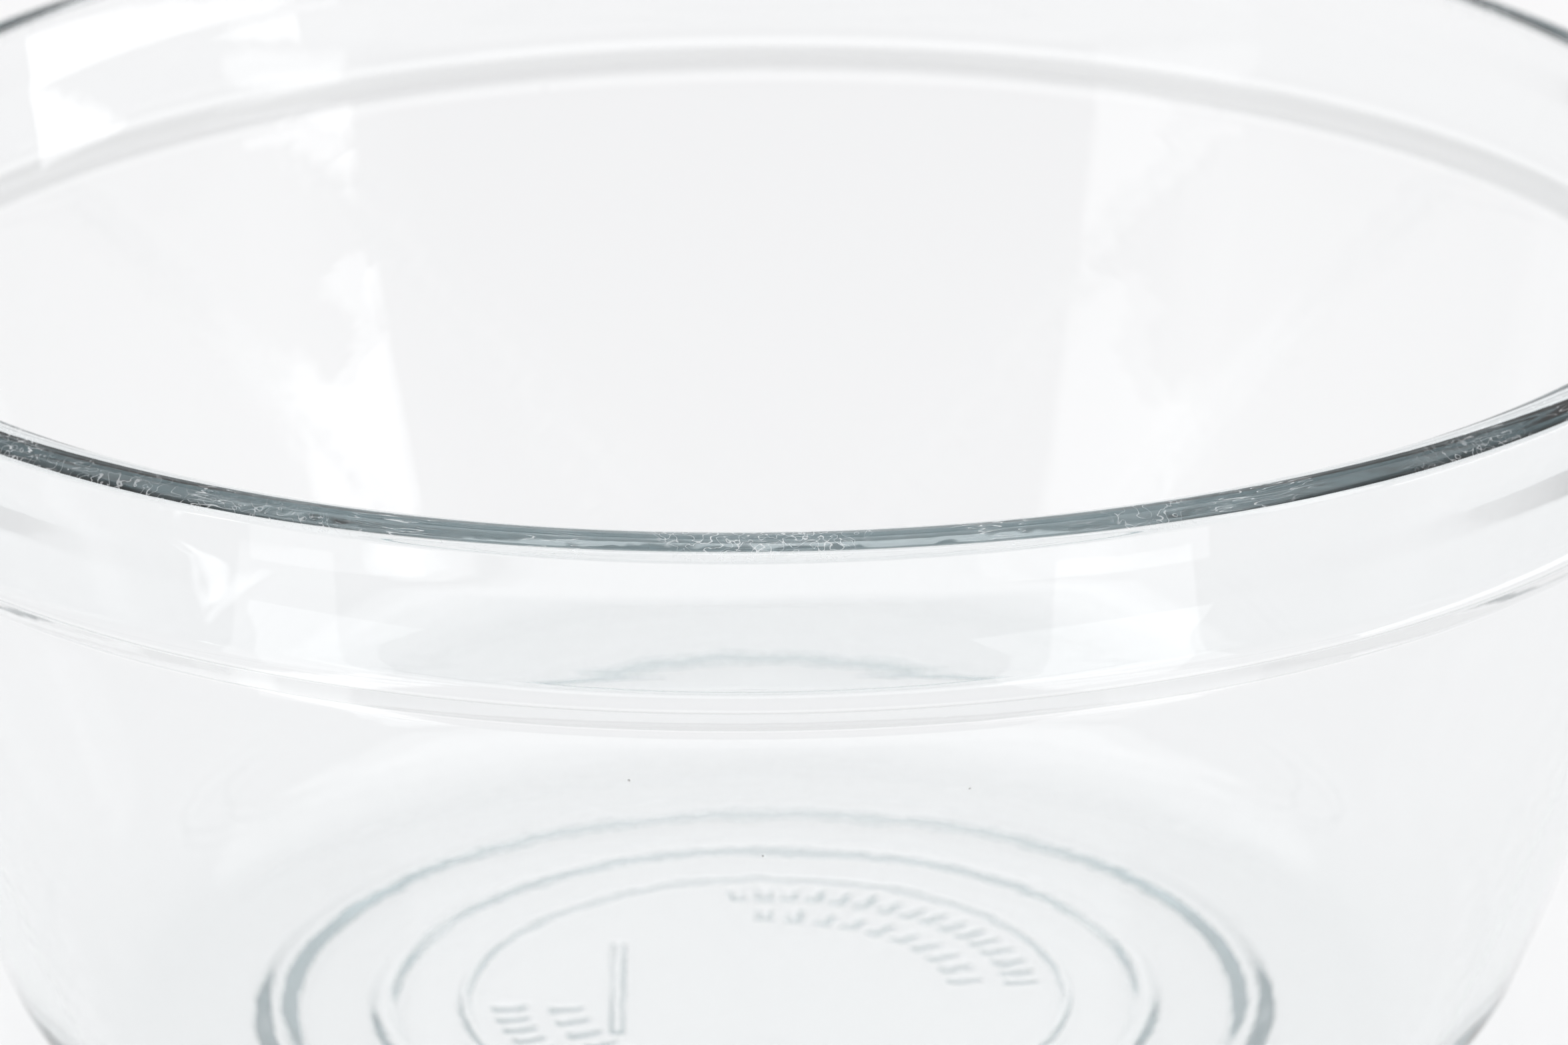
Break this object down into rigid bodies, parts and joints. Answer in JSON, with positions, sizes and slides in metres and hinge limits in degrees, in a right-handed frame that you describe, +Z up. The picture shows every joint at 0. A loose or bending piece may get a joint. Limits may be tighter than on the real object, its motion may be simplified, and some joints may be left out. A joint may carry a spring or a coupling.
{
  "type": "glass dish",
  "caption": "Round clear pressed-glass dish with a domed rim, an upright stacking collar, a moulded step below it, a bowed tapering wall, a rounded heel and a raised foot ring.",
  "frame": {"origin": "centre of the foot ring's underside, on the axis of the dish", "axes": "+Z up along the axis of the dish, from the foot to the open mouth; X and Y are free because the dish is round"},
  "size_m": [0.2052, 0.2052, 0.0918],
  "materials": {
    "clear_glass": "clear polished soda-lime glass with a faint blue-green tint where it is seen edge-on, fine wear scratches on the rim"
  },
  "bodies": {
    "root": {"rim_lip": "clear_glass", "stacking_collar": "clear_glass", "stacking_step": "clear_glass", "bowl_wall": "clear_glass", "heel": "clear_glass", "base_disc": "clear_glass", "foot_ring": "clear_glass", "middle_base_ring": "clear_glass", "fine_base_ring": "clear_glass", "base_bars": "clear_glass"}
  },
  "joints": []
}
